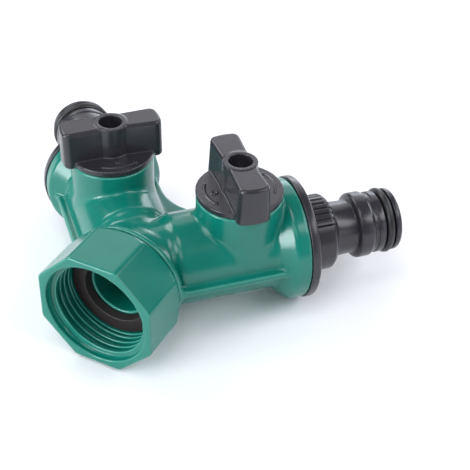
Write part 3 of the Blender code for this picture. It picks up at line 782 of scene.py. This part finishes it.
def make_outlet(name, side):
    place = along_axis(side)
    adaptor = [
        (0.0050, SPOUT_END, 0.0004),
        (0.0081, SPOUT_END, 0.0009),
        (0.0081, 0.0659, 0.0003),
        (0.0062, 0.0659, 0.0002),
        (0.0062, 0.0631, 0.0002),
        (0.0080, 0.0631, 0.0003),
        (0.0080, 0.0613, 0.0002),
        (0.0077, 0.0612, 0.0002),
        (0.0077, 0.0602, 0.0002),
        (0.0080, 0.0601, 0.0002),
        (0.0085, 0.0593, 0.0003),
        (0.0085, 0.0561, 0.0009),
        (0.0069, 0.0556, 0.0004),
        (0.00695, 0.0530, 0),
        (0.00715, 0.0506, 0),
        (0.0073, 0.0498, 0.0008),
        (0.0090, 0.0493, 0.0006),
        (GRIP_RADIUS, GRIP_FRONT, 0.0009),
        (GRIP_RADIUS, 0.0430, 0),
        (GRIP_RADIUS, 0.0427, 0),
        (GRIP_RADIUS, FLANGE[1], 0.0003),
        (FLANGE_RADIUS, FLANGE[1], 0.0007),
        (FLANGE_RADIUS, FLANGE[0], 0.0003),
        (0.0102, FLANGE[0], 0.0002),
        (0.0102, 0.0339, 0.0003),
        (0.0050, 0.0339, 0.0003),
    ]
    node = name + "_outlet_adaptor"
    add_turned(node, adaptor, 432, place, "housing", BLACK, knurl)
    spout_seal = o_ring_corners(0.0075, 0.0010, 0.0645)
    add_turned(name + "_spout_o_ring", spout_seal, 128, place, "housing", RUBBER)
    bell_seal = o_ring_corners(0.01165, 0.0009, 0.0388)
    add_turned(name + "_adaptor_o_ring", bell_seal, 128, place, "housing", RUBBER)
    for label, sign in (("inlet", -1), ("outlet", 1)):
        seat = [
            (0.0051, BOSS_DISTANCE + sign * 0.0081, 0.0003),
            (0.0083, BOSS_DISTANCE + sign * 0.0081, 0.0003),
            (0.0083, BOSS_DISTANCE + sign * 0.0056, 0.0002),
            (0.0062, BOSS_DISTANCE + sign * 0.0056, 0.0001),
            (0.0051, BOSS_DISTANCE + sign * 0.0066, 0.0001),
        ]
        add_turned(name + "_" + label + "_seat", seat, 96, place, "housing", WHITE)


# Stage
CAMERA_AZIMUTH = math.radians(25.15)
CAMERA_HEIGHT = math.radians(38.10)
CAMERA_DISTANCE = 0.25828
CAMERA_AIM = (0.02324, 0.00826)
CAMERA_ROLL = math.radians(1.95)
TENT_RADIUS = 0.8
SENSOR = 36.0
LENS = 80.71
WINDOW = (0.36, 0.30)
WIDE_WINDOW = (0.90, 0.38)
# name, azimuth and elevation in degrees, watts, colour, size
WINDOWS = (
    ("front_low", 330, 12, 4.7, (0.88, 0.97, 1.0), WINDOW),
    ("front_high", 333, 43, 1.65, (0.88, 0.98, 1.0), WINDOW),
    ("front_right", 20, 46, 0.7, (0.85, 0.94, 1.0), WINDOW),
    ("right_low", 84, 12, 0.44, (0.90, 0.92, 1.0), WINDOW),
    ("right_high", 92, 42, 1.69, (0.95, 0.97, 1.0), WINDOW),
    ("back_right_high", 122, 42, 1.16, (0.95, 0.95, 1.0), WINDOW),
    ("back_right_low", 150, 12, 1.46, (0.84, 0.92, 1.0), WINDOW),
    ("back_low", 198, 14, 1.26, (0.88, 0.92, 1.0), WINDOW),
    ("back_high", 210, 39, 1.46, (0.95, 0.95, 1.0), WIDE_WINDOW),
    ("left_high", 258, 42, 2.04, (0.95, 0.98, 1.0), WINDOW),
    ("overhead", 0, 75, 1.26, (0.98, 0.95, 1.0), WINDOW),
)


def towards(azimuth, elevation):
    """The unit direction to an azimuth, 0 towards -Y and a quarter turn towards +X."""
    level = math.cos(elevation)
    return Vector((math.sin(azimuth) * level, -math.cos(azimuth) * level, math.sin(elevation)))


def make_camera():
    back = towards(CAMERA_AZIMUTH, CAMERA_HEIGHT)
    right = Vector((math.cos(CAMERA_AZIMUTH), math.sin(CAMERA_AZIMUTH), 0))
    up = back.cross(right)
    data = bpy.data.cameras.new("camera")
    data.lens = LENS
    data.sensor_width = SENSOR
    data.clip_start = 0.01
    data.clip_end = 20
    camera = bpy.data.objects.new("camera", data)
    bpy.context.scene.collection.objects.link(camera)
    rolled_right = right * math.cos(CAMERA_ROLL) + up * math.sin(CAMERA_ROLL)
    rolled_up = up * math.cos(CAMERA_ROLL) - right * math.sin(CAMERA_ROLL)
    turn = Matrix((rolled_right, rolled_up, back)).transposed().to_4x4()
    place = JUNCTION + right * CAMERA_AIM[0] + up * CAMERA_AIM[1] + back * CAMERA_DISTANCE
    camera.matrix_world = Matrix.Translation(place) @ turn
    bpy.context.scene.camera = camera


def add_window(name, azimuth, elevation, power, colour, size):
    """A soft window of the light tent, facing the object."""
    data = bpy.data.lights.new(name, "AREA")
    data.shape = "RECTANGLE"
    data.size, data.size_y = size
    data.energy = power
    data.color = colour
    window = bpy.data.objects.new(name, data)
    outwards = towards(math.radians(azimuth), math.radians(elevation))
    window.location = outwards * TENT_RADIUS + Vector((0, 0, 0.01))
    window.rotation_euler = outwards.to_track_quat("Z", "Y").to_euler()
    bpy.context.scene.collection.objects.link(window)


def make_stage():
    size = 3.0
    corners = [(-size, -size, 0), (size, -size, 0), (size, size, 0), (-size, size, 0)]
    mesh = bpy.data.meshes.new("floor")
    mesh.from_pydata(corners, [], [(0, 1, 2, 3)])
    floor = bpy.data.objects.new("floor", mesh)
    paper = bpy.data.materials.new("white_paper")
    paper.use_nodes = True
    shader = paper.node_tree.nodes["Principled BSDF"]
    shader.inputs["Base Color"].default_value = (0.96, 0.95, 0.97, 1)
    shader.inputs["Roughness"].default_value = 0.9
    shader.inputs["Specular IOR Level"].default_value = 0.1
    mesh.materials.append(paper)
    bpy.context.scene.collection.objects.link(floor)
    world = bpy.data.worlds.new("studio")
    bpy.context.scene.world = world
    world.use_nodes = True
    sky = world.node_tree.nodes["Background"]
    sky.inputs["Color"].default_value = (0.92, 0.96, 1.0, 1)
    sky.inputs["Strength"].default_value = 0.18
    for window in WINDOWS:
        add_window(*window)
    bpy.context.scene.view_settings.view_transform = "Standard"
    bpy.context.scene.view_settings.look = "None"


make_camera()
make_stage()
make_body()
make_inlet()
valve_meshes = make_valve_meshes()
for side_name, side_sign in SIDES.items():
    make_valve(side_name, side_sign, valve_meshes)
    make_outlet(side_name, side_sign)
